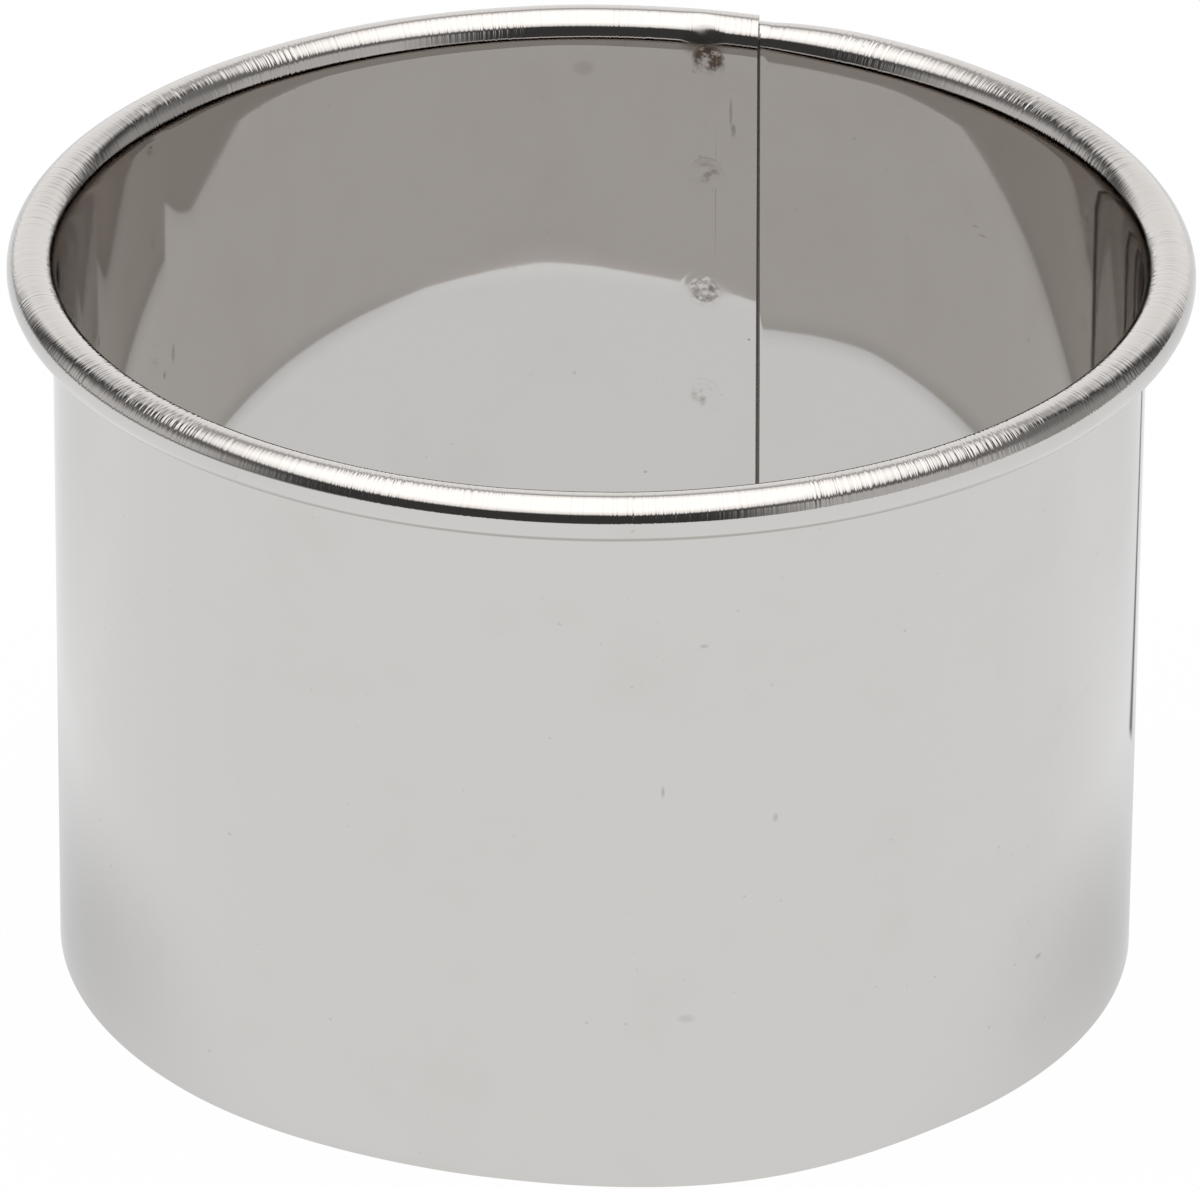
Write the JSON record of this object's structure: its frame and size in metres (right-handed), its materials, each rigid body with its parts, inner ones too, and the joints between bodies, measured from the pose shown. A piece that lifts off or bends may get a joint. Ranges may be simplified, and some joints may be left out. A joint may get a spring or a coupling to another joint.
{
  "type": "biscuit cutter",
  "caption": "Round dough cutter: a straight-sided hoop of thin sheet steel, open at both ends, with a hollow bead rolled round its top edge and a spot-welded lap seam up the wall.",
  "frame": {"origin": "on the hoop's axis, in the plane of the cutting edge", "axes": "+Z along the hoop's axis, from the cutting edge up to the bead; the lap seam is at the back (+Y), 17.5 degrees from it towards +X; -Y faces the picture's camera"},
  "size_m": [0.0966, 0.0966, 0.0626],
  "materials": {
    "band_steel": "bright rolled stainless sheet, mirror-like, with faint brushing and rub marks",
    "weld_steel": "duller spot-weld metal with a faint heat tint"
  },
  "bodies": {
    "root": {"cutter_band": "band_steel", "spot_weld_1": "weld_steel", "spot_weld_2": "weld_steel", "spot_weld_3": "weld_steel", "spot_weld_4": "weld_steel", "spot_weld_5": "weld_steel", "spot_weld_6": "weld_steel"}
  },
  "joints": []
}
